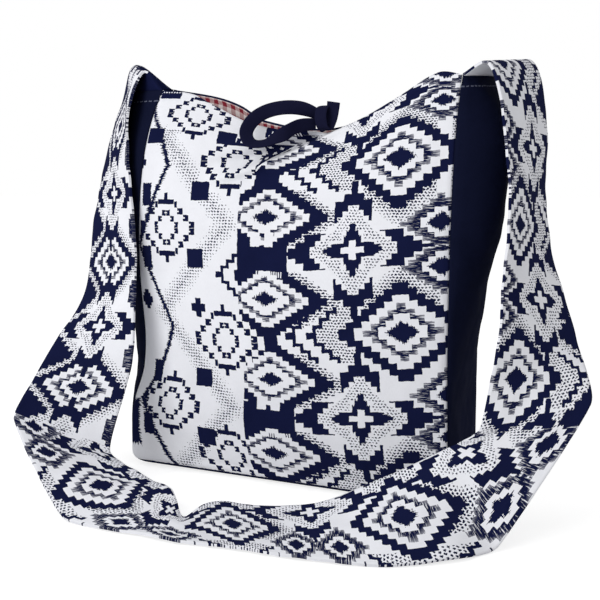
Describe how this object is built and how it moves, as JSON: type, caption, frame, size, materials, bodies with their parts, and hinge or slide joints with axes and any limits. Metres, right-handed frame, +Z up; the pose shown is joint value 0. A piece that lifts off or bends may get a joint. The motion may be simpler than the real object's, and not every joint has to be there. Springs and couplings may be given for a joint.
{
  "type": "crossbody bag",
  "caption": "Soft cotton sling bag with printed panels, plain side gussets, a checked lining, a wide printed shoulder strap and a tie closure.",
  "frame": {"origin": "middle of the flat underside of the base, on the floor", "axes": "+Z up, +X to the right of the printed front, the printed front faces -Y"},
  "size_m": [0.5189, 0.2853, 0.412],
  "materials": {
    "printed_cotton": "matte",
    "navy_cotton": "matte",
    "checked_lining": "matte"
  },
  "bodies": {
    "root": {"front_panel": "printed_cotton", "back_panel": "printed_cotton", "left_gusset": "navy_cotton", "right_gusset": "navy_cotton", "base_panel": "navy_cotton", "front_lining": "checked_lining", "back_lining": "checked_lining", "left_lining": "checked_lining", "right_lining": "checked_lining", "base_lining": "checked_lining", "strap": "printed_cotton", "front_tie": "navy_cotton", "back_tie": "navy_cotton"}
  },
  "joints": []
}
